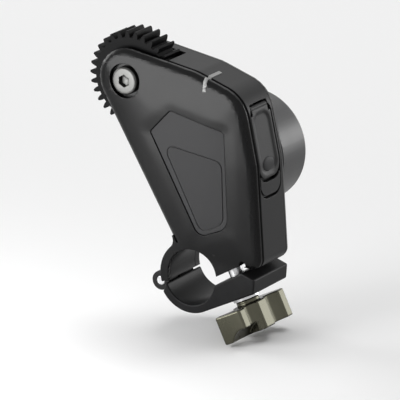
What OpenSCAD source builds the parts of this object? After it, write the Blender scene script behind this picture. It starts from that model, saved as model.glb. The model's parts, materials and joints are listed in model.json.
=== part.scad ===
// Motor-driven follow focus unit on a quick clamp for a 15 mm support rod.
// The rod runs along Y and the front faces -Y. The origin lies on the rod axis at the
// middle of the clamp. Outlines are drawn in the X-Z plane, and depths run from the front.

/* [Rod clamp] */
// Diameter of the support rod
rod_d = 15; // [12:0.5:16]
// Radial room between rod and clamp bore
rod_room = 0.05; // [0.01:0.01:0.1]
// Wall of the clamp ring
ring_wall = 2.3; // [2:0.1:3]
// Slope of the slit beside the rod
slit_angle = 30; // [27:1:33]
// Drop of the slit's upper face below the rod axis
slit_drop = 2.7; // [2.2:0.1:3.2]
// Height of the slit
slit_h = 1.9; // [1.4:0.1:2.2]
// Reach of the slit from the rod axis
slit_reach = 16.4; // [15.5:0.1:17]
// Reach of the jaw past the rod axis, along X
jaw_reach = 19.9; // [19:0.1:21]
// Radius of the hinge pin of the jaw
hinge_pin_r = 1.25; // [1:0.05:1.5]
// Wall of the hinge knuckles
knuckle_wall = 1.4; // [1.2:0.1:1.8]

/* [Clamp screw] */
// Tilt of the clamp screw from the vertical
screw_tilt = 26; // [24:1:32]
// Distance of the screw from the rod axis
screw_out = 10.6; // [10.4:0.1:11.4]
// Depth of the screw behind the front face
screw_depth = 5.9; // [5.4:0.1:9]
// Radius of the screw's shank
stud_r = 1.95; // [1.6:0.05:2]
// Room of the jaw's hole around the shank
jaw_hole_room = 0.75; // [0.6:0.05:0.9]
// Length of the knob's wings from tip to tip
wing_l = 23.3; // [20:0.1:25]
// Width of the wings at their tips
wing_w = 8.3; // [7.5:0.1:9]
// Height of the wings
wing_h = 7.7; // [7:0.1:8.4]
// Width of the wings at the waist
waist_w = 3.6; // [3.2:0.1:4.4]
// Radius of the knob's hub
hub_r = 3.2; // [3.1:0.05:3.5]
// Thickness of the knob's washer
knob_washer_t = 0.8; // [0.6:0.1:1]

/* [Lens gear] */
// Gear axis to the left of the rod axis
gear_x = 20.4; // [20:0.1:21]
// Gear axis above the rod axis
gear_z = 51.1; // [50.5:0.1:51.5]
// Module of the lens gear's teeth
gear_module = 0.8; // [0.8:0.05:0.8]
// Number of teeth of the lens gear
gear_teeth = 30; // [30:1:30]
// Width of the lens gear
gear_w = 7.8; // [7:0.1:8.5]
// Radius of the gear axle
axle_r = 3.2; // [3:0.05:3.4]

/* [Housing] */
// Thickness of the front cover
cover_t = 2.6; // [2.4:0.1:3]
// Thickness of the rear cheek behind the gear
cheek_t = 2.8; // [2.6:0.1:3.2]
// Thickness of the rear cover
rear_t = 2.4; // [2.3:0.1:2.8]
// Wall of the main frame
frame_wall = 3; // [2.8:0.1:3.2]
// Rounding of the front edge
front_round = 2; // [1.2:0.1:2.2]
// Rounding of the rear edge
rear_round = 2.2; // [1.2:0.1:2.2]
// Radius of the nose around the gear axis
nose_r = 8.6; // [8.2:0.1:9]
// Depth of the badge recess
badge_recess = 0.9; // [0.7:0.1:1]
// Radius of the round recess around the gear screw
screw_recess_r = 4.7; // [4.4:0.1:5]

/* [Side strip] */
// Front edge of the strip behind the front face
strip_front = 3.9; // [3.7:0.1:4.2]
// Width of the strip
strip_w = 10.4; // [10.2:0.1:10.5]
// Lower end of the strip above the rod axis
strip_low = 23.3; // [23:0.1:24]
// Height of the key at the strip's lower end
key_h = 4.6; // [4:0.1:5]
// Thickness of the port flap
flap_t = 1.2; // [1:0.1:1.3]
// Travel of the key
key_travel = 0.5; // [0.3:0.05:0.6]

/* [Motor] */
// Motor axis to the right of the rod axis
motor_x = 3; // [2.8:0.1:3.2]
// Motor axis above the rod axis
motor_z = 30.3; // [30:0.1:30.6]
// Air gap between the motor and its can
can_gap = 2; // [1.6:0.1:2.2]
// Wall of the motor can
can_wall = 1.3; // [1:0.1:1.6]
// Radius of the motor
motor_r = 12.2; // [11.5:0.1:12.6]
// Length of the motor's case
motor_l = 10.2; // [9.5:0.1:12]

/* [Hidden] */
$fn = 64;
hull_fn = 32;
cut = 0.5;
// Room round plain shanks that stand for threads, in running fits and at seats
thread_room = 0.05;
run_room = 0.05;
run_gap = 0.1;
seat_gap = 0.05;
fine_gap = 0.2;
// Overlap where a flat runs into a round
bite = 0.02;

// Depths from the front face
boss_h = 0.8;
flange_t = 0.3;
spacer_t = 0.3;
seat_t = 1.3;
gear_front = cover_t + boss_h + run_gap + flange_t;
gear_back = gear_front + gear_w;
spacer_front = gear_back + flange_t + run_gap;
cheek_front = spacer_front + spacer_t;
strip_edge = 0.8;
frame_back = max(cheek_front + cheek_t, strip_front + strip_w + strip_edge);
body_t = frame_back + rear_t;
front_y = -body_t / 2;

// Corner circles of the housing's outline, anticlockwise from the lower right: x, z, radius
side_x = 20.8;
foot_r = 2.9;
foot_z = 7.6;
flank_x = 9.2;
flank_z = 31.5;
shoulder = [6.6, 43.6];
side_r = 10;
brow_x = -1.5;
brow_share = 0.4;
brow = [brow_x, shoulder[1] + brow_share * (gear_z - shoulder[1])];
brow_less = 0.2;
brow_r = side_r - brow_less;
neck = [-2.1, 9.1];
neck_r = 3;
gear_axis = [-gear_x, gear_z];
corners = [
    [side_x - foot_r, foot_z, foot_r],
    [flank_x, flank_z, side_r],
    [shoulder[0], shoulder[1], side_r],
    [brow[0], brow[1], brow_r],
    [gear_axis[0], gear_axis[1], nose_r],
    [neck[0], neck[1], neck_r]
];
cavity_floor = 12.5;
seam_w = 0.6;
seam_deep = 0.5;

// Clamp
bore_r = rod_d / 2 + rod_room;
ring_r = bore_r + ring_wall;
knuckle_r = hinge_pin_r + knuckle_wall;
knuckle_room = 0.25;
hinge_angle = 197;
knuckle_out_share = 0.7;
hinge_out = bore_r + knuckle_r + knuckle_out_share * hinge_pin_r;
hinge_axis = polar(hinge_out, hinge_angle);
parting_gap = 0.5;
knuckle_share = 0.37;
knuckle_l = knuckle_share * (frame_back - cover_t);
knuckle_a = cover_t + knuckle_l;
knuckle_b = frame_back - knuckle_l;
neck_fillet = 2.6;
relief_r = 0.9;
slit_end = turned(slit_reach, -slit_drop, slit_angle);
jaw_slope = 1.4;
jaw_low_step = 0.3;

// Clamp screw and knob, measured down from the rod axis along the screw
stud_top = 4;
washer_r = 3.7;
knob_top = ring_r + seat_gap + knob_washer_t;
hub_neck = 1.3;
wing_low = knob_top + hub_neck + wing_h;
hub_floor = 1.5;
tip_round = 0.8;
flank_r = 3.3;
scoop_r = 4.6;
scoop_x_share = 0.35;
scoop_sink_share = 0.42;
cross_pin_r = 0.6;
cross_pin_low = (knob_top + wing_low) / 2;
cross_pin_sink = 0.1;

// Housing screws
screw_inset = 2.9;
screw_in_share = 1.1;
screw_out_share = 1.15;
shoulder_screw_turn = 58;
ring_screw_turn = 107;
housing_screws_at = [
    [brow[0], brow[1] + brow_r - screw_inset],
    shoulder + polar(side_r - screw_inset, shoulder_screw_turn),
    [side_x - screw_in_share * screw_inset, foot_z + screw_inset],
    polar(ring_r + screw_out_share * screw_inset, ring_screw_turn)
];
shank_r = 1;
head_r = 1.9;
head_h = 1.6;
head_sink = 0.1;
pass_room = 0.15;
hex_share = 0.5;
hex_deep_share = 0.6;

// Badge and pad outlines: corner circles from the lower right, anticlockwise, as shares of the
// housing's half width, of the gear's height and of the side rounding
badge_shares = [
    [0.35, 0.348, 0.4],
    [0.433, 0.791, 0.12],
    [-0.288, 0.861, 0.1],
    [-0.553, 0.75, 0.09],
    [0.173, 0.292, 0.28]
];
inlay_shares = [
    [0.337, 0.352, 0.28],
    [0.332, 0.605, 0.25],
    [-0.25, 0.652, 0.18],
    [0.202, 0.313, 0.22]
];
badge_corners = [for (s = badge_shares) [s[0] * side_x, s[1] * gear_z, s[2] * side_r]];
inlay_corners = [for (s = inlay_shares) [s[0] * side_x, s[1] * gear_z, s[2] * side_r]];
badge_gap = 0.15;
badge_t = 0.6;
inlay_t = 0.25;
inlay_groove = 0.35;

// White line over the top edge
line_w = 1;
line_x = 3.6;
line_end = 9;
line_drop = 2.2;
line_low = brow[1] + brow_r - front_round - line_drop;
line_t = 0.15;

// Gear train: lens gear, drive pinion and reduction gear on the idler, motor pinion
pinion_teeth = 16;
fine_module = 0.5;
reduction_teeth = 40;
motor_teeth = 12;
tip_share = 1;
pinion_tip_share = 0.9;
root_share = 1.2;
fine_tip_share = 0.8;
fine_root_share = 1.1;
mesh_room = 0.05;
backlash = 0.12;
gear_clear = 0.8;
motor_axis = [motor_x, motor_z];
gear_outer_r = gear_module * (gear_teeth / 2 + 1);
reduction_r = fine_module * (reduction_teeth / 2 + 1);
lens_to_idler = gear_module * (gear_teeth + pinion_teeth) / 2 + mesh_room;
idler_to_motor = fine_module * (reduction_teeth + motor_teeth) / 2 + mesh_room;
idler_axis = meet(gear_axis, lens_to_idler, motor_axis, idler_to_motor);
lens_turn = bearing(gear_axis, idler_axis);
drive_turn = bearing(idler_axis, gear_axis) + 180 / pinion_teeth;
reduction_turn = bearing(idler_axis, motor_axis);
motor_turn = bearing(motor_axis, idler_axis) + 180 / motor_teeth;
reduction_front = cheek_front + fine_gap;
reduction_back = frame_back - 4 * fine_gap;

// Lens gear mounting
gear_bush_wall = 1.4;
gear_flange_out = 0.8;
gear_bush_r = axle_r + gear_bush_wall;
bush_share = 0.4;
gear_flange_r = gear_bush_r + gear_flange_out;
gear_screw_r = 2;
gear_screw_l = 7;
gear_head_r = 3.8;
gear_head_h = 1.7;
gear_head_sink = 0.15;
gear_recess = gear_head_sink + gear_head_h + seat_gap;
axle_screw_l = 5;
boss_r = 4.6;

// Idler shaft and its bushes
idler_r = 1.5;
bush_r = 2.5;
bush_l = 1.6;
idler_boss_wall = 0.9;
idler_boss_r = bush_r + idler_boss_wall;
idler_boss_h = boss_h / 2;
bush_front = cover_t + idler_boss_h - bush_l;
idler_end_gap = 0.3;
idler_end = frame_back + seat_t - idler_end_gap;

// Motor
motor_shaft_r = 1;
motor_seat = frame_back + seat_t;
motor_room = 0.3;
motor_nose_r = 4;
motor_nose_share = 0.9;
case_wall = 0.9;
case_floor = 2 * case_wall;
motor_screw_r = 0.8;
motor_screw_share = 0.656;
motor_screw_at = motor_screw_share * motor_r;
motor_screw_turns = [90, 210, 330];
motor_head_r = 1.5;
motor_head_h = 0.6;
motor_back = motor_seat + motor_l;
endcap_t = 0.9;
rotor_share = 0.516;
rotor_r = rotor_share * motor_r;
stator_gap = 0.4;
stator_slot_share = 0.12;
rotor_gap = 1.2;
bearing_r = 3;
bearing_t = 1.6;
magnet_r = 2;
magnet_t = 0.35;
encoder_room = 1.4;
encoder_t = 0.7;
can_back = motor_back + endcap_t + encoder_room + can_wall;
can_r = motor_r + can_gap + can_wall;
can_round = 1.6;
can_screw_turns = [30, 150, 270];
can_screw_share = 0.738;
can_screw_at = can_screw_share * motor_r;
can_screw_r = 0.8;
can_head_r = 1.6;
can_head_h = 0.7;

// Side strip; the hinge of the port flap sits on the rounded shoulder
strip_round = 3.4;
strip_gap = 0.2;
strip_mid = strip_front + strip_w / 2;
flap_pin_r = 0.4;
barrel_r = 0.9;
barrel_inset = 1.2;
hinge_room = 0.5;
hinge_step = 1.5;
flap_sink = 0.1;
flap_pin_turn = 23;
flap_pin_at = shoulder + polar(side_r - barrel_r - flap_sink, flap_pin_turn);
strip_high = flap_pin_at[1] + barrel_r + hinge_room - strip_round;
pocket_t = flap_t + 2 * flap_sink;
barrel_front = strip_front + barrel_inset;
barrel_back = strip_front + strip_w - barrel_inset;
key_horn_share = 0.4;
key_mid_z = strip_low + key_h / 2;
stem_r = 1.2;
switch_h = 3;
switch_w = 5;

// Circuit board and its two port sockets
port_w = 8.94;
port_h = 3.26;
port_wall = 0.3;
port_room = 0.2;
port_step = 8;
port_rise = 6;
port_z = [strip_low + key_h + port_rise, strip_low + key_h + port_rise + port_step];
port_mouth_share = 0.84;
port_mouth = shoulder[0] + port_mouth_share * side_r;
tongue_w = 6.6;
tongue_t = 0.7;
board_t = 1.2;
board_clear = 0.5;
board_x = motor_x + fine_module * (motor_teeth / 2 + fine_tip_share) + board_clear;
port_l = port_mouth - board_x - board_t;
board_low = 15;
board_high = 43;
board_gap = 0.6;
board_front = cover_t + board_gap;
board_back = frame_back - board_gap;
board_post_r = 1.7;
board_post_z = 18.5;
board_post_inset = 2.4;
board_posts = [board_front + board_post_inset, board_back - board_post_inset];
board_screw_r = 0.8;
board_screw_l = 4.8;
chip_w = 5;
chip_t = 1;

// Returns the point at radius r and angle a
function polar(r, a) = [r * cos(a), r * sin(a)];
// Turns the point u, v by angle a
function turned(u, v, a) = [u * cos(a) - v * sin(a), u * sin(a) + v * cos(a)];
// Angle from point p to point q
function bearing(p, q) = atan2(q[1] - p[1], q[0] - p[0]);
// The point at distance rp from p and rq from q, on the left of the way from p to q
function meet(p, rp, q, rq) =
    let (s = norm(q - p), along = (rp * rp - rq * rq + s * s) / (2 * s))
    p + turned(along, sqrt(max(rp * rp - along * along, 0)), bearing(p, q));
// Normal of the tangent line from circle a to circle b, each given as x, z, radius
function tangent_normal(a, b) =
    bearing(a, b) - acos((a[2] - b[2]) / norm([b[0] - a[0], b[1] - a[1]]));
function wrap(a, from) = a < from ? wrap(a + 360, from) : a;
// Points of the outline round a convex chain of circles, all drawn in by inset
function chain(list, inset = 0, steps = 10) = [
    for (i = [0 : len(list) - 1])
        let (
            c = list[i],
            last = list[(i + len(list) - 1) % len(list)],
            next = list[(i + 1) % len(list)],
            a0 = tangent_normal(last, c),
            a1 = wrap(tangent_normal(c, next), a0)
        )
        for (k = [0 : steps])
            [c[0], c[1]] + polar(c[2] - inset, a0 + (a1 - a0) * k / steps)
];
function involute(a) = tan(a) * 180 / PI - a;
// Half the angle of a tooth at radius r
function tooth_half(r, pitch_r, teeth) =
    let (
        base_r = pitch_r * cos(20),
        at = r < base_r ? 0 : acos(base_r / r)
    )
    90 / teeth - backlash / pitch_r * 45 / PI + involute(20) - involute(at);
// Points of a spur gear with a tooth centred on angle zero
function gear_points(mod, teeth, tip_share, root_share) =
    let (
        pitch_r = mod * teeth / 2,
        root = pitch_r - root_share * mod,
        tip = pitch_r + tip_share * mod,
        base_r = pitch_r * cos(20),
        low = max(root + 0.1 * mod, base_r),
        radii = [root, low, (low + pitch_r) / 2, pitch_r, (pitch_r + tip) / 2, tip],
        last = len(radii) - 1
    )
    [
        for (i = [0 : teeth - 1], side = [-1, 1], k = [0 : last])
            let (r = radii[side < 0 ? k : last - k])
            polar(r, 360 * i / teeth + side * tooth_half(r, pitch_r, teeth))
    ];

// Draws the children in the X-Z plane between two depths
module slab(d0, d1) {
    translate([0, front_y + d1, 0]) rotate([90, 0, 0]) linear_extrude(d1 - d0) children();
}
// Round bar along Y between two depths
module bar(at, r, d0, d1) {
    translate([at[0], front_y + d1, at[1]]) rotate([90, 0, 0]) cylinder(r = r, h = d1 - d0);
}
// Extrudes a Y-Z outline along X, where its first value is the depth
module side_prism(x0, x1) {
    translate([x0, front_y, 0]) rotate([90, 0, 90]) linear_extrude(x1 - x0) children();
}
// Frame of the clamp screw: the axis is Z, up into the frame, and X runs away from the rod
module at_screw() {
    rotate([0, -screw_tilt, 0]) translate([screw_out, front_y + screw_depth, 0]) children();
}

module body_2d(inset = 0) {
    polygon(chain(corners, inset));
}

// Fillet between the left edge and the clamp ring
module neck_2d() {
    a = tangent_normal(corners[4], corners[5]);
    edge = neck * polar(1, a) + neck_r;
    out = ring_r + neck_fillet - bite;
    from_edge = edge + neck_fillet - bite;
    c = turned(from_edge, -sqrt(out * out - from_edge * from_edge), a);
    difference() {
        polygon([[0, 0], c - polar(neck_fillet + cut, a), c]);
        translate(c) circle(neck_fillet);
    }
}

// What lies below the slit and the parting line at the hinge
module below_2d() {
    reach = 3 * ring_r;
    polygon([
        [0, 0],
        turned(0, -slit_drop, slit_angle),
        slit_end,
        [slit_end[0], -reach],
        [-reach, -reach],
        polar(reach, hinge_angle)
    ]);
}

// Upper half of the clamp with the housing's whole outline
module housing_2d(inset = 0) {
    difference() {
        union() {
            body_2d(inset);
            circle(ring_r);
            neck_2d();
            rotate(slit_angle) translate([0, -slit_drop]) square([slit_reach, 2 * slit_drop]);
        }
        below_2d();
        circle(bore_r);
        rotate(slit_angle) translate([slit_reach, -slit_drop]) circle(relief_r);
    }
}

// Housing plate with a rounded outer edge on its face at depth zero, growing to depth t
module round_plate(t, edge) {
    rings = 4;
    difference() {
        union() {
            hull() {
                for (c = corners, k = [0 : rings]) {
                    a = 90 * k / rings;
                    translate([c[0], front_y + t, c[1]]) rotate([90, 0, 0])
                        cylinder(
                            r = c[2] - edge * (1 - sin(a)),
                            h = t - edge * (1 - cos(a)),
                            $fn = hull_fn
                        );
                }
            }
            slab(0, t) {
                circle(ring_r);
                neck_2d();
                rotate(slit_angle) translate([0, -slit_drop]) square([slit_reach, 2 * slit_drop]);
            }
        }
        slab(-cut, t + cut) {
            below_2d();
            circle(bore_r);
            rotate(slit_angle) translate([slit_reach, -slit_drop]) circle(relief_r);
        }
    }
}

// Round-headed screw along Y: the head's top is at depth top, and the tip lies at depth tip
module cap_screw(at, top, tip, r, hr, hh) {
    out = top > tip ? -1 : 1;
    neck = top + out * hh;
    difference() {
        union() {
            bar(at, hr, min(top, neck), max(top, neck));
            bar(at, r, min(neck, tip), max(neck, tip));
        }
        socket = top + out * hh * hex_deep_share;
        translate([at[0], front_y + max(top + (out < 0 ? cut : 0), socket), at[1]])
            rotate([90, 0, 0])
                cylinder(
                    r = hr * hex_share,
                    h = abs(socket - top) + cut,
                    $fn = 6
                );
    }
}

module front_cover() color("#2a2a2c") {
    difference() {
        union() {
            round_plate(cover_t, front_round);
            bar(gear_axis, boss_r, cover_t / 2, cover_t + boss_h);
            bar(idler_axis, idler_boss_r, cover_t / 2, cover_t + idler_boss_h);
        }
        slab(-cut, badge_recess) polygon(chain(badge_corners));
        bar(gear_axis, screw_recess_r, -cut, gear_recess);
        bar(gear_axis, gear_screw_r + thread_room, 0, cover_t + boss_h + cut);
        bar(idler_axis, bush_r, bush_front, cover_t + boss_h + cut);
        for (p = housing_screws_at) bar(p, shank_r + thread_room, cover_t / 3, cover_t + cut);
        slab(-cut, line_t) translate([line_x, line_low]) square([line_w, gear_z]);
    }
}

// Outline of the strip from the height low up to the rounded top, seen from the side
module strip_2d(low, grow = 0) {
    back = strip_front + strip_w - strip_round;
    front = strip_front + strip_round;
    polygon(chain([
        [back, low + strip_round, strip_round],
        [back, strip_high, strip_round],
        [front, strip_high, strip_round],
        [front, low + strip_round, strip_round]
    ], -grow));
}

// Skin of the housing's side between two insets, cut to a Y-Z outline
module side_skin(from, to) {
    intersection() {
        slab(strip_front - cut, strip_front + strip_w + cut) difference() {
            body_2d(from);
            body_2d(to);
        }
        side_prism(shoulder[0], side_x + cut) children();
    }
}

module box_x(x0, x1, d, z, w, h) {
    translate([x0, front_y + d - w / 2, z - h / 2]) cube([x1 - x0, w, h]);
}
module bar_x(x0, x1, d, z, r) {
    translate([x0, front_y + d, z]) rotate([0, 90, 0]) cylinder(r = r, h = x1 - x0);
}

module main_frame() color("#232325") {
    difference() {
        union() {
            difference() {
                slab(cover_t, frame_back) housing_2d();
                slab(cover_t - cut, frame_back + cut) intersection() {
                    body_2d(frame_wall);
                    translate([-gear_x - nose_r, cavity_floor])
                        square([gear_x + nose_r + side_x, gear_z]);
                }
                bar(gear_axis, gear_outer_r + gear_clear, cover_t - cut, cheek_front);
            }
            intersection() {
                slab(cheek_front, frame_back) body_2d(frame_wall / 2);
                bar(gear_axis, gear_outer_r + gear_clear, cheek_front, frame_back);
            }
            for (p = housing_screws_at) bar(p, head_r, cover_t, frame_back);
            intersection() {
                slab(cover_t, frame_back) body_2d(frame_wall / 2);
                for (d = board_posts)
                    bar_x(board_x + board_t, side_x, d, board_post_z, board_post_r);
            }
            bar(hinge_axis, knuckle_r, cover_t, knuckle_a);
            bar(hinge_axis, knuckle_r, knuckle_b, frame_back);
        }
        slab(knuckle_a, knuckle_b) translate(hinge_axis) circle(knuckle_r + knuckle_room);
        bar([0, 0], bore_r, cover_t - cut, frame_back + cut);
        bar(hinge_axis, hinge_pin_r, cover_t - cut, frame_back + cut);
        bar(gear_axis, axle_r, cheek_front - cut, frame_back + cut);
        bar(idler_axis, reduction_r + 2 * fine_gap, cheek_front - fine_gap, frame_back + cut);
        for (p = housing_screws_at)
            bar(p, shank_r + pass_room, cover_t - cut, frame_back + cut);
        side_skin(-cut, pocket_t) strip_2d(strip_low);
        bar(flap_pin_at, barrel_r + hinge_room, barrel_front - strip_gap, barrel_back + strip_gap);
        bar(flap_pin_at, flap_pin_r, strip_front, strip_front + strip_w);
        for (z = port_z)
            box_x(
                port_mouth - port_l / 2, side_x, strip_mid, z,
                port_w + 2 * port_room, port_h + 2 * port_room
            );
        bar_x(shoulder[0], side_x, strip_mid, key_mid_z, stem_r + run_gap);
        for (d = board_posts)
            bar_x(board_x, board_x + board_screw_l + cut, d, board_post_z, board_screw_r + thread_room);
        at_screw() translate([0, 0, -2 * ring_r]) 
            cylinder(r = stud_r + thread_room, h = stud_top + 2 * ring_r + 2 * cut);
        slab(cover_t - cut, frame_back + cut) below_cut_2d();
        slab(cover_t - cut, line_end) line_2d();
        slab(cover_t - cut, cover_t + seam_w) difference() {
            body_2d(-cut);
            body_2d(seam_deep);
            circle(ring_r + neck_fillet);
        }
    }
}

// Outline of the white line's groove in the housing's top
module line_2d() {
    difference() {
        translate([line_x, shoulder[1]]) square([line_w, gear_z]);
        body_2d(line_t);
    }
}
module below_cut_2d() {
    difference() {
        below_2d();
        translate(hinge_axis) circle(knuckle_r);
        circle(bore_r);
    }
}

module rear_cover() color("#232325") {
    difference() {
        mirror([0, 1, 0]) round_plate(rear_t, rear_round);
        bar(motor_axis, motor_r + motor_room, motor_seat, body_t + cut);
        bar(motor_axis, motor_nose_r + motor_room, frame_back - cut, body_t);
        for (a = motor_screw_turns)
            bar(
                motor_axis + polar(motor_screw_at, a), motor_screw_r + thread_room,
                frame_back - cut, body_t
            );
        bar(gear_axis, gear_screw_r + thread_room, frame_back - cut, body_t + cut);
        bar(gear_axis, gear_head_r + pass_room, body_t - head_h, body_t + cut);
        bar(idler_axis, bush_r, frame_back - cut, idler_end);
        for (p = housing_screws_at) {
            bar(p, shank_r + pass_room, frame_back - cut, body_t + cut);
            bar(p, head_r + pass_room, body_t - head_h, body_t + cut);
        }
    }
}

module motor_can() color("#1c1c1e") {
    difference() {
        translate([motor_axis[0], front_y + body_t, motor_axis[1]]) rotate([-90, 0, 0])
            rotate_extrude() difference() {
                union() {
                    square([can_r, can_back - body_t - can_round]);
                    square([can_r - can_round, can_back - body_t]);
                    translate([can_r - can_round, can_back - body_t - can_round]) circle(can_round);
                }
                translate([0, -cut]) square([can_r - can_wall, can_back - body_t - can_wall + cut]);
                translate([-can_r, -cut]) square([can_r, can_back]);
            }
        for (a = can_screw_turns)
            bar(motor_axis + polar(can_screw_at, a), can_screw_r + thread_room, body_t, can_back + cut);
    }
}

module badge_plate() color("#4a4a4c") {
    difference() {
        slab(badge_recess - badge_t, badge_recess) polygon(chain(badge_corners, badge_gap));
        slab(-cut, badge_recess - badge_t + inlay_t) polygon(chain(inlay_corners, -inlay_groove));
    }
}

module badge_inlay() color("#5a5a5c") {
    slab(badge_recess - badge_t, badge_recess - badge_t + inlay_t) polygon(chain(inlay_corners));
}

module index_line() color("#e8e8e8") {
    slab(cover_t + seam_w, line_end) difference() {
        intersection() {
            translate([line_x, shoulder[1]]) square([line_w, gear_z]);
            body_2d();
        }
        body_2d(line_t);
    }
    slab(0, line_t) translate([line_x, line_low]) square([line_w, line_drop]);
}

module port_flap() color("#1a1a1b") {
    difference() {
        union() {
            side_skin(flap_sink, flap_sink + flap_t) intersection() {
                strip_2d(strip_low + key_h, -strip_gap);
                union() {
                    translate([strip_front, strip_low])
                        square([strip_w, flap_pin_at[1] - hinge_step - strip_low]);
                    translate([barrel_front, strip_low])
                        square([barrel_back - barrel_front, flap_pin_at[1] - strip_low]);
                }
            }
            bar(flap_pin_at, barrel_r, barrel_front, barrel_back);
        }
        bar(flap_pin_at, flap_pin_r + run_room, strip_front - cut, strip_front + strip_w + cut);
    }
}

module flap_pin() color("silver") {
    bar(flap_pin_at, flap_pin_r, strip_front, strip_front + strip_w);
}

module side_key() color("#303032") {
    side_skin(0, pocket_t - key_travel - seat_gap) difference() {
        strip_2d(strip_low, -strip_gap);
        strip_2d(strip_low + key_h, strip_gap);
        translate([strip_front, strip_low + key_h + key_horn_share * strip_round])
            square([strip_w, strip_high]);
    }
    intersection() {
        bar_x(board_x + board_t + switch_h, side_x, strip_mid, key_mid_z, stem_r);
        slab(cover_t, frame_back) body_2d(pocket_t / 3);
    }
}

module key_switch() color("#101010") {
    top = board_x + board_t + switch_h - key_travel - seat_gap;
    box_x(board_x + board_t, top, strip_mid, key_mid_z, switch_w, switch_w);
}

module circuit_board() color("#0f4d2a") {
    difference() {
        union() {
            translate([board_x, front_y + board_front, board_low])
                cube([board_t, board_back - board_front, board_high - board_low]);
            box_x(board_x - chip_t, board_x, strip_mid, port_z[0] - chip_w, chip_w, chip_w);
        }
        for (d = board_posts)
            bar_x(board_x - cut, board_x + board_t + cut, d, board_post_z, board_screw_r + run_gap);
    }
}

module board_screws() color("silver") {
    for (d = board_posts) {
        bar_x(board_x, board_x + board_screw_l, d, board_post_z, board_screw_r);
        bar_x(board_x - board_screw_r, board_x, d, board_post_z, 2 * board_screw_r);
    }
}

module port_sockets() color("silver") {
    for (z = port_z) difference() {
        box_x(board_x + board_t, port_mouth, strip_mid, z, port_w, port_h);
        box_x(
            board_x + board_t + port_wall, port_mouth + cut, strip_mid, z,
            port_w - 2 * port_wall, port_h - 2 * port_wall
        );
    }
}

module socket_tongues() color("#101010") {
    for (z = port_z)
        box_x(
            board_x + board_t + port_wall, port_mouth - 2 * port_wall,
            strip_mid, z, tongue_w, tongue_t
        );
}

module spur(mod, teeth, tip, root, turn) {
    rotate(turn) polygon(gear_points(mod, teeth, tip, root));
}

module lens_gear() color("#161617") {
    difference() {
        slab(gear_front, gear_back) translate(gear_axis)
            spur(gear_module, gear_teeth, tip_share, root_share, lens_turn);
        bar(gear_axis, gear_bush_r, gear_front - cut, gear_back + cut);
    }
}

module gear_bushes() color("#a8823c") {
    for (side = [0, 1]) difference() {
        union() {
            bar(gear_axis, gear_bush_r,
                side == 0 ? gear_front : gear_back - bush_share * gear_w,
                side == 0 ? gear_front + bush_share * gear_w : gear_back);
            bar(gear_axis, gear_flange_r,
                side == 0 ? gear_front - flange_t : gear_back,
                side == 0 ? gear_front : gear_back + flange_t);
        }
        bar(gear_axis, axle_r + run_room, gear_front - cut - flange_t, gear_back + cut + flange_t);
    }
}

module gear_axle() color("silver") {
    difference() {
        bar(gear_axis, axle_r, cover_t + boss_h, frame_back);
        bar(gear_axis, gear_screw_r + thread_room, cover_t, frame_back + cut);
    }
}

module gear_spacer() color("silver") {
    difference() {
        bar(gear_axis, gear_flange_r, spacer_front, cheek_front);
        bar(gear_axis, axle_r + run_room, spacer_front - cut, cheek_front + cut);
    }
}

module gear_screw() color("#d8d8da") {
    cap_screw(
        gear_axis, gear_head_sink, gear_head_sink + gear_screw_l,
        gear_screw_r, gear_head_r, gear_head_h
    );
}

module axle_screw() color("#303032") {
    top = body_t - head_sink;
    cap_screw(gear_axis, top, top - axle_screw_l, gear_screw_r, gear_head_r, head_h - head_sink);
}

module drive_pinion() color("#8c8c90") {
    difference() {
        slab(gear_front + run_gap, gear_back) translate(idler_axis)
            spur(gear_module, pinion_teeth, pinion_tip_share, root_share, drive_turn);
        bar(idler_axis, idler_r, gear_front - cut, gear_back + cut);
    }
}

module reduction_gear() color("#a8823c") {
    difference() {
        slab(reduction_front, reduction_back) translate(idler_axis)
            spur(fine_module, reduction_teeth, fine_tip_share, fine_root_share, reduction_turn);
        bar(idler_axis, idler_r, reduction_front - cut, reduction_back + cut);
    }
}

module idler_shaft() color("silver") {
    bar(idler_axis, idler_r, bush_front, idler_end);
}

module idler_bushes() color("#a8823c") {
    difference() {
        bar(idler_axis, bush_r, bush_front, bush_front + bush_l);
        bar(idler_axis, idler_r + run_room, bush_front - cut, bush_front + bush_l + cut);
    }
    difference() {
        bar(idler_axis, bush_r, frame_back, idler_end);
        bar(idler_axis, idler_r + run_room, frame_back - cut, idler_end + cut);
    }
}

module motor_case() color("#b0b0b4") {
    difference() {
        union() {
            bar(motor_axis, motor_r, motor_seat, motor_back);
            bar(motor_axis, motor_nose_r, motor_seat - motor_nose_share * seat_t, motor_seat);
        }
        bar(motor_axis, motor_r - case_wall, motor_seat + case_floor, motor_back + cut);
        bar(motor_axis, bearing_r, motor_seat + case_floor - bearing_t, motor_back);
        bar(motor_axis, motor_shaft_r + run_gap, motor_seat - 2 * seat_t, motor_back);
        for (a = motor_screw_turns)
            bar(
                motor_axis + polar(motor_screw_at, a), motor_screw_r + thread_room,
                motor_seat - cut, motor_seat + case_floor + cut
            );
    }
}

module motor_endcap() color("#303032") {
    difference() {
        bar(motor_axis, motor_r, motor_back, motor_back + endcap_t);
        bar(motor_axis, bearing_r, motor_back - cut, motor_back + endcap_t + cut);
        for (a = can_screw_turns)
            bar(
                motor_axis + polar(can_screw_at, a), can_screw_r + thread_room,
                motor_back - cut, motor_back + endcap_t + cut
            );
    }
}

module stator() color("#b87333") {
    difference() {
        bar(motor_axis, motor_r - case_wall, motor_seat + case_floor + rotor_gap, motor_back - rotor_gap);
        bar(motor_axis, rotor_r + stator_gap, motor_seat, motor_back);
        for (a = [0 : 60 : 300])
            bar(
                motor_axis + polar((rotor_r + motor_r) / 2, a), stator_slot_share * motor_r,
                motor_seat, motor_back
            );
    }
}

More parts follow.
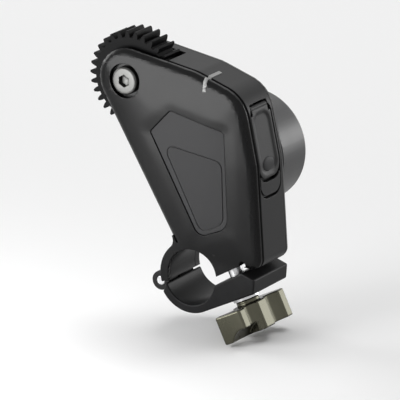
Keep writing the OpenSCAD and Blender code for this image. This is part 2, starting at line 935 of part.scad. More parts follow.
module rotor() color("#707074") {
    difference() {
        bar(motor_axis, rotor_r, motor_seat + case_floor + rotor_gap, motor_back - rotor_gap);
        bar(motor_axis, motor_shaft_r, motor_seat, motor_back);
    }
}

module motor_shaft() color("silver") {
    bar(motor_axis, motor_shaft_r, reduction_front - fine_gap, motor_back + endcap_t + seat_gap);
}

module motor_bearings() color("silver") {
    for (d = [motor_seat + case_floor - bearing_t, motor_back + endcap_t - bearing_t]) difference() {
        bar(motor_axis, bearing_r, d, d + bearing_t);
        bar(motor_axis, motor_shaft_r + run_room, d - cut, d + bearing_t + cut);
    }
}

module motor_pinion() color("#a8823c") {
    difference() {
        slab(reduction_front - fine_gap, reduction_back + fine_gap) translate(motor_axis)
            spur(fine_module, motor_teeth, fine_tip_share, fine_root_share, motor_turn);
        bar(motor_axis, motor_shaft_r, reduction_front - cut, reduction_back + cut);
    }
}

module encoder_magnet() color("#606064") {
    front = motor_back + endcap_t + seat_gap;
    bar(motor_axis, magnet_r, front, front + magnet_t);
}

module encoder_board() color("#0f4d2a") {
    difference() {
        bar(motor_axis, motor_r - case_wall, can_back - can_wall - encoder_t, can_back - can_wall);
        for (a = can_screw_turns)
            bar(motor_axis + polar(can_screw_at, a), can_screw_r + thread_room, motor_back, can_back);
    }
}

module motor_screws() color("silver") {
    for (a = motor_screw_turns)
        cap_screw(
            motor_axis + polar(motor_screw_at, a), frame_back - motor_head_h, motor_seat + case_floor,
            motor_screw_r, motor_head_r, motor_head_h
        );
}

module can_screws() color("#303032") {
    for (a = can_screw_turns)
        cap_screw(
            motor_axis + polar(can_screw_at, a), can_back + can_head_h, motor_back + fine_gap,
            can_screw_r, can_head_r, can_head_h
        );
}

module housing_screws() color("#303032") {
    for (p = housing_screws_at)
        cap_screw(p, body_t - head_sink, cover_t / 2, shank_r, head_r, head_h - head_sink);
}

// Outline of the jaw: a half ring and the arm beside the rod
module jaw_2d() {
    gap_end = turned(slit_reach - slit_h / 3, -slit_drop - slit_h, slit_angle);
    foot = polar(ring_r - bite, screw_tilt - 90);
    low_end = foot + polar((jaw_reach - foot[0] - jaw_low_step) / cos(screw_tilt), screw_tilt);
    difference() {
        union() {
            circle(ring_r);
            polygon([
                [0, 0], gap_end,
                [jaw_reach, gap_end[1] - jaw_slope],
                low_end, foot
            ]);
        }
        circle(bore_r);
        rotate(slit_angle) translate([0, -slit_drop - slit_h]) square([4 * ring_r, 3 * ring_r]);
        rotate(hinge_angle - 180) translate([-4 * ring_r, -parting_gap])
            square([4 * ring_r, 3 * ring_r]);
    }
}

module clamp_jaw() color("#2a2a2c") {
    difference() {
        union() {
            slab(0, body_t) jaw_2d();
            bar(hinge_axis, knuckle_r, knuckle_a + run_gap, knuckle_b - run_gap);
        }
        for (d = [[-cut, knuckle_a + run_gap], [knuckle_b - run_gap, body_t + cut]])
            bar(hinge_axis, knuckle_r + knuckle_room, d[0], d[1]);
        bar([0, 0], bore_r, -cut, body_t + cut);
        bar(hinge_axis, hinge_pin_r + run_room, -cut, body_t + cut);
        at_screw() translate([0, 0, -2 * ring_r]) cylinder(r = stud_r + jaw_hole_room, h = 2 * ring_r);
    }
}

module jaw_pin() color("silver") {
    bar(hinge_axis, hinge_pin_r, cover_t, frame_back);
}

module knob_washer() color("silver") {
    at_screw() translate([0, 0, -knob_top]) difference() {
        cylinder(r = washer_r, h = knob_washer_t);
        translate([0, 0, -cut]) cylinder(r = stud_r + run_room, h = knob_washer_t + 2 * cut);
    }
}

module clamp_stud() color("silver") {
    at_screw() difference() {
        translate([0, 0, hub_floor - wing_low])
            cylinder(r = stud_r, h = wing_low - hub_floor + stud_top);
        translate([-hub_r - cut, 0, -cross_pin_low]) rotate([0, 90, 0])
            cylinder(r = cross_pin_r, h = 2 * (hub_r + cut));
    }
}

module knob_pin() color("silver") {
    at_screw() translate([cross_pin_sink - hub_r, 0, -cross_pin_low]) rotate([0, 90, 0])
        cylinder(r = cross_pin_r, h = 2 * (hub_r - cross_pin_sink));
}

module wing_2d() {
    difference() {
        polygon(chain([
            for (s = [[1, -1], [1, 1], [-1, 1], [-1, -1]])
                [s[0] * (wing_w / 2 - tip_round), s[1] * (wing_l / 2 - tip_round), tip_round]
        ]));
        for (sx = [-1, 1], sy = [-1, 1])
            translate([sx * (waist_w / 2 + flank_r), sy * (hub_r + 0.65 * flank_r)]) circle(flank_r);
    }
}

module wing_knob() color("#8f8a68") {
    at_screw() difference() {
        union() {
            translate([0, 0, -wing_low]) linear_extrude(wing_h) wing_2d();
            translate([0, 0, -wing_low]) cylinder(r = hub_r, h = wing_low - knob_top - seat_gap);
        }
        for (s = [0, 180]) rotate(s)
            translate([wing_w * scoop_x_share, -hub_r, -wing_low - scoop_sink_share * scoop_r])
                rotate([90, 0, 0]) cylinder(r = scoop_r, h = wing_l);
        translate([0, 0, hub_floor - wing_low]) cylinder(r = stud_r + thread_room, h = wing_low);
        translate([-hub_r - cut, 0, -cross_pin_low]) rotate([0, 90, 0])
            cylinder(r = cross_pin_r, h = 2 * (hub_r + cut));
    }
}

front_cover();
main_frame();
rear_cover();
motor_can();
badge_plate();
badge_inlay();
index_line();
port_flap();
flap_pin();
side_key();
key_switch();
circuit_board();
board_screws();
port_sockets();
socket_tongues();
lens_gear();
gear_bushes();
gear_axle();
gear_spacer();
gear_screw();
axle_screw();
drive_pinion();
reduction_gear();
idler_shaft();
idler_bushes();
motor_case();
motor_endcap();
stator();
rotor();
motor_shaft();
motor_bearings();
motor_pinion();
encoder_magnet();
encoder_board();
motor_screws();
can_screws();
housing_screws();
clamp_jaw();
jaw_pin();
knob_washer();
clamp_stud();
knob_pin();
wing_knob();
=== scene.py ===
import bpy
import bmesh
import json
import math
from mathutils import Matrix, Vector


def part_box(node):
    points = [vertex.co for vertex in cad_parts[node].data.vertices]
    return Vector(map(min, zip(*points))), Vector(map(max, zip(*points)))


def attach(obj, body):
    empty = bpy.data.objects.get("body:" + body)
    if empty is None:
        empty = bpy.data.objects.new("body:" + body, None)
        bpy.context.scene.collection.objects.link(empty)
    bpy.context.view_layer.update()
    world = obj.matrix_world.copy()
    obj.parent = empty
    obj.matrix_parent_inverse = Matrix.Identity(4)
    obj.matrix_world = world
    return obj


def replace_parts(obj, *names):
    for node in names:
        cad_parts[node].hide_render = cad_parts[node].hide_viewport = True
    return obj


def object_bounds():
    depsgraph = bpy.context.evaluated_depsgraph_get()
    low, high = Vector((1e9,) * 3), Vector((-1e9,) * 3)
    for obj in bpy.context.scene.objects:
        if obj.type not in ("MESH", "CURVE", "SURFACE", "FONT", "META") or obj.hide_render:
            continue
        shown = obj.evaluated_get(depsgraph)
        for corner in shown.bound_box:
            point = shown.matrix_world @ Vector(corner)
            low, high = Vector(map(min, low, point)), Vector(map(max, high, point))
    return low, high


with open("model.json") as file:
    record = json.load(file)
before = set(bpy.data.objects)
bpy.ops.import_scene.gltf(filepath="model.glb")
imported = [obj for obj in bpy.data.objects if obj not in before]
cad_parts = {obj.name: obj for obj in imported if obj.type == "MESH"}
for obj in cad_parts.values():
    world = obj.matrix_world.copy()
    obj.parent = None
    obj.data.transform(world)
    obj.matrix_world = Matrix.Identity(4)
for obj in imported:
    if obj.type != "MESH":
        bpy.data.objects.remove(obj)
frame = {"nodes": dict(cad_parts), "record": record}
cadLow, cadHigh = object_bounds()
nodes = frame["nodes"]
slotOf = {part["node"]: part["material_slot"] for part in frame["record"]["subparts"]}
bodyOf = {node: body for body, held in frame["record"]["behaviour"]["bodies"].items() for node in held}
mm = 0.001
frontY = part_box("front_cover")[0].y
print("frame loaded:", len(nodes), "nodes")

# Finishes by material slot: colour, roughness, metal, size of the grain in mm, depth of the
# grain, mottling, how much the edges are worn bright, and gloss where it isn't 0.5
finishes = {
    "housing_black": dict(color=(0.0040, 0.0040, 0.0042), rough=0.25, metal=0,
                          grain=0.16, bump=0.07, mottle=0.08, wear=0.12, gloss=0.15),
    "band_black": dict(color=(0.010, 0.010, 0.0103), rough=0.40, metal=0,
                       grain=0.14, bump=0.16, mottle=0.12, wear=0.25, gloss=0.16),
    "can_black": dict(color=(0.010, 0.010, 0.011), rough=0.40, metal=0,
                      grain=0.20, bump=0.08, mottle=0.10, wear=0.3, gloss=0.6),
    "badge_grey": dict(color=(0.031, 0.031, 0.032), rough=0.52, metal=0,
                       grain=0.12, bump=0.18, mottle=0.10, wear=0.1, gloss=0.14),
    "inlay_grey": dict(color=(0.026, 0.026, 0.027), rough=0.50, metal=0,
                       grain=0.10, bump=0.12, mottle=0.10, wear=0.1, gloss=0.14),
    "mark_white": dict(color=(0.34, 0.34, 0.335), rough=0.60, metal=0,
                       grain=0.10, bump=0.05, mottle=0.08, wear=0),
    "flap_rubber": dict(color=(0.011, 0.011, 0.0115), rough=0.42, metal=0,
                        grain=0.18, bump=0.25, mottle=0.3, wear=0.9, gloss=0.18),
    "key_rubber": dict(color=(0.011, 0.011, 0.0115), rough=0.42, metal=0,
                       grain=0.18, bump=0.25, mottle=0.25, wear=0.9, gloss=0.16),
    "gear_plastic": dict(color=(0.004, 0.004, 0.0042), rough=0.46, metal=0,
                         grain=0.25, bump=0.12, mottle=0.18, wear=0.2, gloss=0.05),
    "steel": dict(color=(0.56, 0.56, 0.57), rough=0.30, metal=1,
                  grain=0.30, bump=0.06, mottle=0.10, wear=0.2),
    "bright_screw": dict(color=(0.078, 0.078, 0.076), rough=0.36, metal=1,
                         grain=0.30, bump=0.05, mottle=0.08, wear=0.1),
    "dark_screw": dict(color=(0.07, 0.07, 0.072), rough=0.34, metal=0.9,
                       grain=0.25, bump=0.08, mottle=0.14, wear=0.5),
    "brass": dict(color=(0.62, 0.45, 0.19), rough=0.32, metal=1,
                  grain=0.30, bump=0.08, mottle=0.12, wear=0.2),
    "copper": dict(color=(0.66, 0.31, 0.14), rough=0.38, metal=1,
                   grain=0.40, bump=0.20, mottle=0.20, wear=0.1),
    "magnet": dict(color=(0.20, 0.20, 0.21), rough=0.45, metal=0.9,
                   grain=0.40, bump=0.20, mottle=0.20, wear=0.2),
    "zinc_case": dict(color=(0.52, 0.52, 0.53), rough=0.40, metal=1,
                      grain=0.40, bump=0.10, mottle=0.12, wear=0.2),
    "board_green": dict(color=(0.016, 0.115, 0.050), rough=0.35, metal=0,
                        grain=0.50, bump=0.08, mottle=0.25, wear=0),
    "black_plastic": dict(color=(0.012, 0.012, 0.013), rough=0.30, metal=0,
                          grain=0.30, bump=0.08, mottle=0.14, wear=0.2),
    "jaw_grey": dict(color=(0.008, 0.008, 0.0085), rough=0.36, metal=0,
                     grain=0.16, bump=0.22, mottle=0.14, wear=0.3, gloss=0.1),
    "knob_bronze": dict(color=(0.080, 0.078, 0.057), rough=0.28, metal=0.9,
                        grain=0.22, bump=0.14, mottle=0.10, wear=0.1),
}


def link(tree, source, output, target, entry):
    tree.links.new(source.outputs[output], target.inputs[entry])


def blended(tree, share, low, high):
    mix = tree.nodes.new("ShaderNodeMix")
    mix.data_type = "RGBA"
    mix.inputs[6].default_value = (*low, 1)
    mix.inputs[7].default_value = (*high, 1)
    tree.links.new(share, mix.inputs[0])
    return mix


def ranged(tree, source, fromLow, fromHigh, toLow, toHigh):
    fit = tree.nodes.new("ShaderNodeMapRange")
    for entry, value in zip(("From Min", "From Max", "To Min", "To Max"), (fromLow, fromHigh, toLow, toHigh)):
        fit.inputs[entry].default_value = value
    tree.links.new(source, fit.inputs["Value"])
    return fit.outputs["Result"]


def noise(tree, place, size, detail):
    node = tree.nodes.new("ShaderNodeTexNoise")
    node.inputs["Scale"].default_value = 1 / (size * mm)
    node.inputs["Detail"].default_value = detail
    link(tree, place, "Object", node, "Vector")
    return node.outputs["Fac"]


# What all finishes share: size of the broad mottling in mm, where an edge counts as worn, how patchy
# the wear is and how much brighter, the spread in roughness, and the grain's depth as a share of its size
surface = {
    "broad": 6, "detail": 3, "wornFrom": 0.52, "wornTo": 0.60, "patchFrom": 0.35, "patchTo": 0.65,
    "patchLeast": 0.2, "brighter": 2, "lighter": 0.03, "spreadFrom": 0.3, "spreadTo": 0.7,
    "spread": 0.02, "leastRough": 0.05, "depth": 0.25,
}


def makeMaterial(name, color, rough, metal, grain, bump, mottle, wear, gloss=0.5):
    s = surface
    mat = bpy.data.materials.new(name)
    mat.use_nodes = True
    tree = mat.node_tree
    shader = tree.nodes["Principled BSDF"]
    shader.inputs["Metallic"].default_value = metal
    shader.inputs["Specular IOR Level"].default_value = gloss
    place = tree.nodes.new("ShaderNodeTexCoord")
    fine = noise(tree, place, grain, s["detail"])
    broad = noise(tree, place, s["broad"], s["detail"])
    tint = blended(tree, broad, [c * (1 - mottle) for c in color], [min(1, c * (1 + mottle)) for c in color])
    if wear:
        # worn edges: brighter where the surface bends outwards, broken up by the broad noise
        edge = tree.nodes.new("ShaderNodeNewGeometry")
        worn = ranged(tree, edge.outputs["Pointiness"], s["wornFrom"], s["wornTo"], 0, wear)
        patches = ranged(tree, broad, s["patchFrom"], s["patchTo"], s["patchLeast"], 1)
        broken = tree.nodes.new("ShaderNodeMath")
        broken.operation = "MULTIPLY"
        tree.links.new(worn, broken.inputs[0])
        tree.links.new(patches, broken.inputs[1])
        lit = [min(1, c * s["brighter"] + s["lighter"]) for c in color]
        bright = blended(tree, broken.outputs[0], color, lit)
        tree.links.new(tint.outputs[2], bright.inputs[6])
        tint = bright
    tree.links.new(tint.outputs[2], shader.inputs["Base Color"])
    smoother, rougher = max(s["leastRough"], rough - s["spread"]), rough + s["spread"]
    uneven = ranged(tree, broad, s["spreadFrom"], s["spreadTo"], smoother, rougher)
    tree.links.new(uneven, shader.inputs["Roughness"])
    relief = tree.nodes.new("ShaderNodeBump")
    relief.inputs["Strength"].default_value = bump
    relief.inputs["Distance"].default_value = grain * mm * s["depth"]
    tree.links.new(fine, relief.inputs["Height"])
    link(tree, relief, "Normal", shader, "Normal")
    return mat


materials = {slot: makeMaterial(slot, **finish) for slot, finish in finishes.items()}
for name, obj in nodes.items():
    for entry in obj.material_slots:
        entry.material = materials[slotOf[name]]
print("materials made")


def newPiece(name, bm, node):
    mesh = bpy.data.meshes.new(name)
    for face in bm.faces:
        face.smooth = True
    bm.to_mesh(mesh)
    bm.free()
    obj = bpy.data.objects.new(name, mesh)
    bpy.context.scene.collection.objects.link(obj)
    mesh.materials.append(materials[slotOf[node]])
    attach(obj, bodyOf[node])
    return obj


def camel(node):
    first, *rest = node.split("_")
    return first + "".join(word.capitalize() for word in rest)


# How the solids are cleaned, rounded and shaded: distances in metres, angles in degrees
meshing = {"merge": 1.5e-6, "flat": 0.8, "sharp": 32, "segments": 3, "mergeRounded": 4e-6,
           "onCut": 1e-7, "faceWeight": 80}


def solidOf(node):
    source = nodes[node].data
    bm = bmesh.new()
    verts = [bm.verts.new(v.co) for v in source.vertices]
    for polygon in source.polygons:
        corner = [verts[i] for i in polygon.vertices]
        if len(set(corner)) == len(corner) and not bm.faces.get(corner):
            bm.faces.new(corner)
    bmesh.ops.remove_doubles(bm, verts=bm.verts, dist=meshing["merge"])
    flat = math.radians(meshing["flat"])
    bmesh.ops.dissolve_limit(bm, angle_limit=flat, verts=bm.verts, edges=bm.edges)
    bmesh.ops.recalc_face_normals(bm, faces=bm.faces)
    return bm


def roundEdges(bm, width):
    angle = math.radians(meshing["sharp"])
    sharp = [e for e in bm.edges if len(e.link_faces) == 2 and e.calc_face_angle(0) > angle]
    bmesh.ops.bevel(bm, geom=sharp, offset=width * mm, segments=meshing["segments"], profile=0.5,
                    affect="EDGES", clamp_overlap=False, loop_slide=True, miter_outer="ARC")
    bmesh.ops.remove_doubles(bm, verts=bm.verts, dist=meshing["mergeRounded"])


def evenShading(obj):
    weigh = obj.modifiers.new("shading", "WEIGHTED_NORMAL")
    weigh.keep_sharp = True
    weigh.weight = meshing["faceWeight"]


def soften(obj, width, segments=meshing["segments"]):
    bevel = obj.modifiers.new("edges", "BEVEL")
    bevel.width = width * mm
    bevel.segments = segments
    bevel.limit_method = "ANGLE"
    bevel.angle_limit = math.radians(meshing["sharp"])
    bevel.use_clamp_overlap = False
    bevel.harden_normals = True
    bevel.miter_outer = "MITER_ARC"
    evenShading(obj)


def skinned(bm, rings):
    for a, b in zip(rings, rings[1:]):
        for i in range(len(a)):
            j = (i + 1) % len(a)
            bm.faces.new((a[i], a[j], b[j], b[i]))
    bm.faces.new(rings[0])
    bm.faces.new(rings[-1])
    bmesh.ops.recalc_face_normals(bm, faces=bm.faces)


# Corner circles in mm, anticlockwise from the lower right: x, z, radius
housingCorners = [(17.9, 7.6, 2.9), (9.2, 31.5, 10), (6.6, 43.6, 10),
                  (-1.5, 46.6, 9.8), (-20.4, 51.1, 8.6), (-2.1, 9.1, 3)]
badgeCorners = [(7.3, 17.8, 4), (9, 40.4, 1.2), (-6, 44, 1), (-11.5, 38.3, 0.9), (3.6, 14.9, 2.8)]


def sidesOf(corners):
    sides = []
    for i, (ax, az, ar) in enumerate(corners):
        bx, bz, br = corners[(i + 1) % len(corners)]
        turn = math.atan2(bz - az, bx - ax) - math.acos((ar - br) / math.hypot(bx - ax, bz - az))
        normal = Vector((math.cos(turn), math.sin(turn)))
        sides.append((normal, normal.dot(Vector((ax, az))) + ar))
    return sides


def depthIn(sides, spot):
    return min(reach - normal.dot(spot) for normal, reach in sides)


housingSides = sidesOf(housingCorners)
badgeSides = sidesOf(badgeCorners)
# The front swells towards its middle and dips softly to the badge, all in mm
crown = {"drop": 1.15, "reach": 16, "thick": 2.6, "step": 1.2, "dip": 0.24, "dipReach": 2.6}


def sunk(spot, inBadge):
    rise = min(1, max(0, depthIn(housingSides, spot) / crown["reach"]))
    near = 1 if inBadge else min(1, max(0, 1 + depthIn(badgeSides, spot) / crown["dipReach"]))
    return crown["drop"] * (1 - rise) ** 2 + crown["dip"] * near * near * (3 - 2 * near)


def gridCut(bm, axes, step):
    for axis in axes:
        normal = Vector([float(i == axis) for i in range(3)])
        low = min(v.co[axis] for v in bm.verts)
        high = max(v.co[axis] for v in bm.verts)
        for i in range(math.ceil(low / step / mm), math.ceil(high / step / mm)):
            everything = bm.verts[:] + bm.edges[:] + bm.faces[:]
            bmesh.ops.bisect_plane(bm, geom=everything, dist=meshing["onCut"],
                                   plane_co=normal * i * step * mm, plane_no=normal)


def crowned(bm, inBadge):
    gridCut(bm, (0, 2), crown["step"])
    for v in bm.verts:
        hold = 1 - (v.co.y - frontY) / mm / crown["thick"]
        if hold > 0:
            v.co.y += sunk(Vector((v.co.x, v.co.z)) / mm, inBadge) * mm * hold


# The flap has a raised rim round a sunk panel, and its lower end is lifted to widen the gap under it,
# in mm. The sinking fades out inwards and ends at full times thick under the skin. The key is lifted alike.
flapRelief = {"rim": 1.0, "top": 2.0, "corner": 2.7, "fade": 0.55, "sink": 0.34, "thick": 1.2, "full": 1.1,
              "step": 0.5, "lift": 0.55, "liftFrom": 31.5, "liftOver": 1.5}
keyRelief = {"lift": 0.55, "liftFrom": 26}


def smooth(share):
    share = min(1, max(0, share))
    return share * share * (3 - 2 * share)


def flapShaped(bm):
    s = flapRelief
    gridCut(bm, (1, 2), s["step"])
    low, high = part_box("port_flap")
    for v in bm.verts:
        if v.co.z < s["liftFrom"] * mm:
            v.co.z += s["lift"] * mm * min(1, (s["liftFrom"] * mm - v.co.z) / (s["liftOver"] * mm))
        halfY = (high.y - low.y) / 2 / mm - s["rim"] - s["corner"]
        halfZ = (high.z - low.z) / 2 / mm - (s["rim"] + s["lift"] + s["top"]) / 2 - s["corner"]
        midZ = (high.z + low.z) / 2 / mm + (s["rim"] + s["lift"] - s["top"]) / 2
        gapY = max(0, abs(v.co.y - (low.y + high.y) / 2) / mm - halfY)
        gapZ = max(0, abs(v.co.z / mm - midZ) - halfZ)
        inside = s["corner"] - math.hypot(gapY, gapZ)
        deep = depthIn(housingSides, Vector((v.co.x, v.co.z)) / mm)
        outer = min(1, max(0, s["full"] - deep / s["thick"]))
        v.co.x -= s["sink"] * mm * smooth(inside / s["fade"]) * outer


def keyShaped(bm):
    s = keyRelief
    for v in bm.verts:
        if v.co.z < s["liftFrom"] * mm:
            v.co.z += s["lift"] * mm


# Edge rounding in mm
edgeRounding = {
    "main_frame": 0.18, "rear_cover": 0.16, "badge_plate": 0.10, "badge_inlay": 0.07, "port_flap": 0.16,
    "side_key": 0.14, "lens_gear": 0.09, "gear_bushes": 0.08, "gear_spacer": 0.05, "gear_axle": 0.15,
    "clamp_jaw": 0.40, "jaw_pin": 0.20, "knob_washer": 0.12, "wing_knob": 0.42, "clamp_stud": 0.25,
    "knob_pin": 0.10, "flap_pin": 0.06, "port_sockets": 0.05, "socket_tongues": 0.05,
    "front_cover": 0.12, "motor_can": 0.14, "axle_screw": 0.18, "housing_screws": 0.15, "can_screws": 0.15,
}
# Wide flat pieces are cut into a grid of this many mm, so that the wear stays on their edges
gridSteps = {"motor_can": 2, "rear_cover": 2}
# The seam behind the front cover is widened: its place behind the front and the widening, in mm,
# and how near in metres a point lies to count as on it
seam = {"back": 3.2, "wider": 0.35, "near": 1e-5}
for node, width in edgeRounding.items():
    bm = solidOf(node)
    shaped = node in ("front_cover", "badge_plate", "badge_inlay", "port_flap", "side_key", *gridSteps)
    if shaped:
        roundEdges(bm, width)
    if node == "main_frame":
        for v in bm.verts:
            if abs(v.co.y - frontY - seam["back"] * mm) < seam["near"]:
                v.co.y += seam["wider"] * mm
    if node in gridSteps:
        gridCut(bm, (0, 1, 2), gridSteps[node])
    if node == "port_flap":
        flapShaped(bm)
    if node == "side_key":
        keyShaped(bm)
    if node in ("front_cover", "badge_plate", "badge_inlay"):
        crowned(bm, node != "front_cover")
    piece = newPiece(camel(node), bm, node)
    if shaped:
        evenShading(piece)
    else:
        soften(piece, width)
    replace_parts(piece, node)
print("edges rounded")

# The gear screw is turned from rings of radius and height above the head's seat, in mm, and the rings
# of its key socket are hexagons
gearScrew = {"head": 3.8, "tall": 1.7, "round": 0.7, "arcSteps": 6, "key": 1.45, "deep": 1.5, "land": 0.55,
             "chamfer": 0.12, "tip": 0.3, "shank": 1.95, "ring": 60, "edge": 0.05, "edgeSegments": 2}


def hexRadius(inner, turn):
    return inner / math.cos((turn + math.pi / 6) % (math.pi / 3) - math.pi / 6)


def lathed(bm, rings, place, turns):
    rows = []
    for radius, height, isHex in rings:
        row = []
        for i in range(turns):
            turn = 2 * math.pi * i / turns
            r = hexRadius(radius, turn) if isHex else radius
            row.append(bm.verts.new(place(r * math.cos(turn), r * math.sin(turn), height)))
        rows.append(row)
    skinned(bm, rows)


def makeGearScrew():
    s = gearScrew
    low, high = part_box("gear_screw")
    x, z = (low.x + high.x) / 2, (low.z + high.z) / 2
    top = low.y
    bottom, socketEnd = s["tall"] - (high.y - low.y) / mm, s["tall"] - s["deep"]
    rings = [(s["shank"], bottom, False), (s["shank"], 0, False), (s["head"], 0, False)]
    for i in range(s["arcSteps"] + 1):
        a = math.radians(90 / s["arcSteps"] * i)
        inward, downward = s["round"] * (1 - math.cos(a)), s["round"] * (1 - math.sin(a))
        rings.append((s["head"] - inward, s["tall"] - downward, False))
    rings += [
        (s["key"] + s["land"], s["tall"], False), (s["key"] + s["chamfer"], s["tall"], True),
        (s["key"], s["tall"] - s["chamfer"], True), (s["key"], socketEnd, True),
        (s["tip"], socketEnd - s["tip"], False),
    ]
    bm = bmesh.new()
    lathed(bm, rings, lambda a, b, h: Vector((x + a * mm, top + (s["tall"] - h) * mm, z + b * mm)), s["ring"])
    piece = newPiece("gearScrew", bm, "gear_screw")
    soften(piece, s["edge"], s["edgeSegments"])
    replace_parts(piece, "gear_screw")


makeGearScrew()
print("gear screw made")

# The index stroke lies on the surface from the front, over the rounded edge and back along the top, in
# mm; frontTo and edgeTo are shares of its steps, and it turns over the edge about a pivot inside the part
indexStroke = {"wide": 1.0, "down": 2.0, "proud": 0.07, "sunk": 0.12, "steps": 34,
               "frontTo": 0.3, "edgeTo": 0.6, "pivotIn": 3, "pivotDown": 4.5, "frontDown": 1.6,
               "edgeUp": 1.4, "off": 10, "edgeOff": 20, "across": (-0.5, -0.17, 0.17, 0.5)}


def makeIndexStroke():
    s = indexStroke
    low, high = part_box("index_line")
    depsgraph = bpy.context.evaluated_depsgraph_get()
    shells = [bpy.data.objects[name].evaluated_get(depsgraph) for name in ("frontCover", "mainFrame")]
    pivot = Vector(((low.x + high.x) / 2, frontY + s["pivotIn"] * mm, high.z - s["pivotDown"] * mm))
    rows = []
    for i in range(s["steps"] + 1):
        share = i / s["steps"]
        if share < s["frontTo"]:
            under = s["down"] * (1 - share / s["frontTo"]) + s["frontDown"]
            start = Vector((pivot.x, frontY - s["off"] * mm, pivot.z + (s["pivotDown"] - under) * mm))
            way = Vector((0, 1, 0))
        elif share < s["edgeTo"]:
            turn = (share - s["frontTo"]) / (s["edgeTo"] - s["frontTo"]) * math.pi / 2
            way = Vector((0, math.cos(turn), -math.sin(turn)))
            start = pivot + Vector((0, 0, s["edgeUp"] * mm)) - way * s["edgeOff"] * mm
        else:
            along = (share - s["edgeTo"]) / (1 - s["edgeTo"])
            start = Vector((pivot.x, pivot.y + (high.y - pivot.y) * along, high.z + s["off"] * mm))
            way = Vector((0, 0, -1))
        row = []
        for side in s["across"]:
            origin = start + Vector((side * s["wide"] * mm, 0, 0))
            hits = [shell.ray_cast(origin, way) for shell in shells]
            hits = [(hit[1] - origin).length for hit in hits if hit[0]]
            if not hits:
                row = None
                break
            spot = origin + way * min(hits)
            row.append((spot - way * s["proud"] * mm, spot + way * s["sunk"] * mm))
        if row:
            rows.append(row)
    bm = bmesh.new()
    rings = []
    for row in rows:
        outside = [bm.verts.new(top) for top, _ in row]
        rings.append(outside + [bm.verts.new(below) for _, below in reversed(row)])
    skinned(bm, rings)
    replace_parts(newPiece("indexStroke", bm, "index_line"), "index_line")
    print("index stroke rows:", len(rings))


makeIndexStroke()

# The flap's thumb pad is a low oval dome at its lower end, in mm; tip is the share left open at the top
# of the dome, closed by one small face
thumbPad = {"wide": 3.0, "tall": 2.1, "up": 3.6, "dome": 0.30, "sunk": 0.1, "ring": 36, "rows": 5,
            "tip": 0.04, "off": 50}


def makeThumbPad():
    s = thumbPad
    low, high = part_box("port_flap")
    depsgraph = bpy.context.evaluated_depsgraph_get()
    flap = bpy.data.objects["portFlap"].evaluated_get(depsgraph)
    midY, midZ = (low.y + high.y) / 2, low.z + (flapRelief["lift"] + s["up"]) * mm
    bm = bmesh.new()
    rings = []
    for k in range(s["rows"] + 1):
        share = 1 - k / s["rows"] if k < s["rows"] else s["tip"]
        ring = []
        for i in range(s["ring"]):
            turn = 2 * math.pi * i / s["ring"]
            y = midY + s["wide"] * mm * share * math.cos(turn)
            z = midZ + s["tall"] * mm * share * math.sin(turn)
            origin = Vector((s["off"] * mm, y, z))
            hit = flap.ray_cast(origin, Vector((-1, 0, 0)))
            rise = s["dome"] * (1 - share ** 3) - (s["sunk"] if k == 0 else 0)
            ring.append(bm.verts.new(hit[1] + Vector((rise * mm, 0, 0))))
        rings.append(ring)
    skinned(bm, rings)
    pad = newPiece("thumbPad", bm, "port_flap")
    pad.data.materials[0] = materials["inlay_grey"]
    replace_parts(pad, "port_flap")


makeThumbPad()
print("thumb pad made")

# The pale floor, in metres
ground = {"half": 0.7, "drop": 0.0003, "colour": (0.92, 0.92, 0.92, 1), "rough": 0.9}
bm = bmesh.new()
bmesh.ops.create_grid(bm, x_segments=2, y_segments=2, size=ground["half"])
mesh = bpy.data.meshes.new("floor")
bm.to_mesh(mesh)
bm.free()
floor = bpy.data.objects.new("floor", mesh)
floor.location = (0, 0, cadLow.z - ground["drop"])
bpy.context.scene.collection.objects.link(floor)
pale = bpy.data.materials.new("pale_floor")
pale.use_nodes = True
paint = pale.node_tree.nodes["Principled BSDF"]
paint.inputs["Base Color"].default_value = ground["colour"]
paint.inputs["Roughness"].default_value = ground["rough"]
mesh.materials.append(pale)

# The camera, in metres, with its lens and sensor in mm
view = {"at": (0.6636, -1.0877 + frontY, 0.4144), "aim": (-0.0045, 0.0040, 0.0175), "lens": 455,
        "sensor": 36, "near": 0.01, "far": 50}
lens = bpy.data.cameras.new("camera")
lens.sensor_width = view["sensor"]
lens.lens = view["lens"]
lens.clip_start, lens.clip_end = view["near"], view["far"]
camera = bpy.data.objects.new("camera", lens)
camera.location = view["at"]
camera.rotation_euler = (Vector(view["aim"]) - Vector(view["at"])).to_track_quat("-Z", "Y").to_euler()
bpy.context.scene.collection.objects.link(camera)
bpy.context.scene.camera = camera

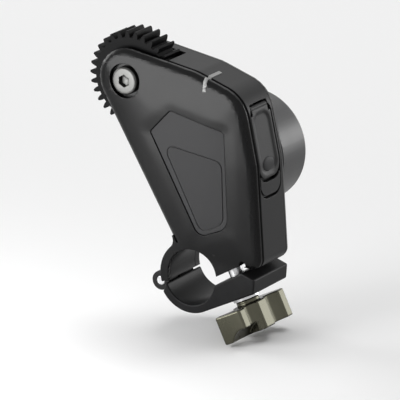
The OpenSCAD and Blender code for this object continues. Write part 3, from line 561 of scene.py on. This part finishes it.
# The lamps stand round the part as softboxes: direction from its middle, distance, width and height in
# metres, watts
middle = Vector((0, 0, 0.03))
lamps = {
    "overhead": ((-0.05, 0.45, 1), 1.0, 0.9, 0.7, 6.2),
    "frontLeft": ((-0.38, -0.90, 0.26), 1.1, 0.7, 0.24, 0.8),
    "card": ((-0.45, -0.87, 0.05), 0.155, 0.09, 0.09, 0.25),
    "backLeft": ((-0.945, -0.03, 0.26), 1.1, 0.7, 0.6, 6),
    "backRight": ((0.55, 0.82, 0.13), 1.1, 0.8, 0.36, 4),
}
for name, (direction, distance, width, height, watts) in lamps.items():
    data = bpy.data.lights.new(name, "AREA")
    data.shape = "RECTANGLE"
    data.size, data.size_y = width, height
    data.energy = watts
    lamp = bpy.data.objects.new(name, data)
    lamp.location = middle + Vector(direction).normalized() * distance
    lamp.rotation_euler = (middle - lamp.location).to_track_quat("-Z", "Y").to_euler()
    lamp.visible_camera = False
    bpy.context.scene.collection.objects.link(lamp)

# The white backdrop shows to the camera and in gloss, metal and glass; it lights the part more dimly
backdrop = {"colour": (1, 1, 1, 1), "white": 1, "dim": 0.15}
world = bpy.data.worlds.new("studio")
world.use_nodes = True
tree = world.node_tree
dim = tree.nodes["Background"]
dim.inputs["Color"].default_value = backdrop["colour"]
dim.inputs["Strength"].default_value = backdrop["dim"]
bright = tree.nodes.new("ShaderNodeBackground")
bright.inputs["Color"].default_value = backdrop["colour"]
bright.inputs["Strength"].default_value = backdrop["white"]
path = tree.nodes.new("ShaderNodeLightPath")
shows = path.outputs["Is Camera Ray"]
for ray in ("Is Glossy Ray", "Is Transmission Ray"):
    either = tree.nodes.new("ShaderNodeMath")
    either.operation = "MAXIMUM"
    tree.links.new(shows, either.inputs[0])
    tree.links.new(path.outputs[ray], either.inputs[1])
    shows = either.outputs[0]
mix = tree.nodes.new("ShaderNodeMixShader")
tree.links.new(shows, mix.inputs["Fac"])
tree.links.new(dim.outputs[0], mix.inputs[1])
tree.links.new(bright.outputs[0], mix.inputs[2])
tree.links.new(mix.outputs[0], tree.nodes["World Output"].inputs["Surface"])
bpy.context.scene.world = world
bpy.context.scene.view_settings.view_transform = "Standard"
print("stage set")
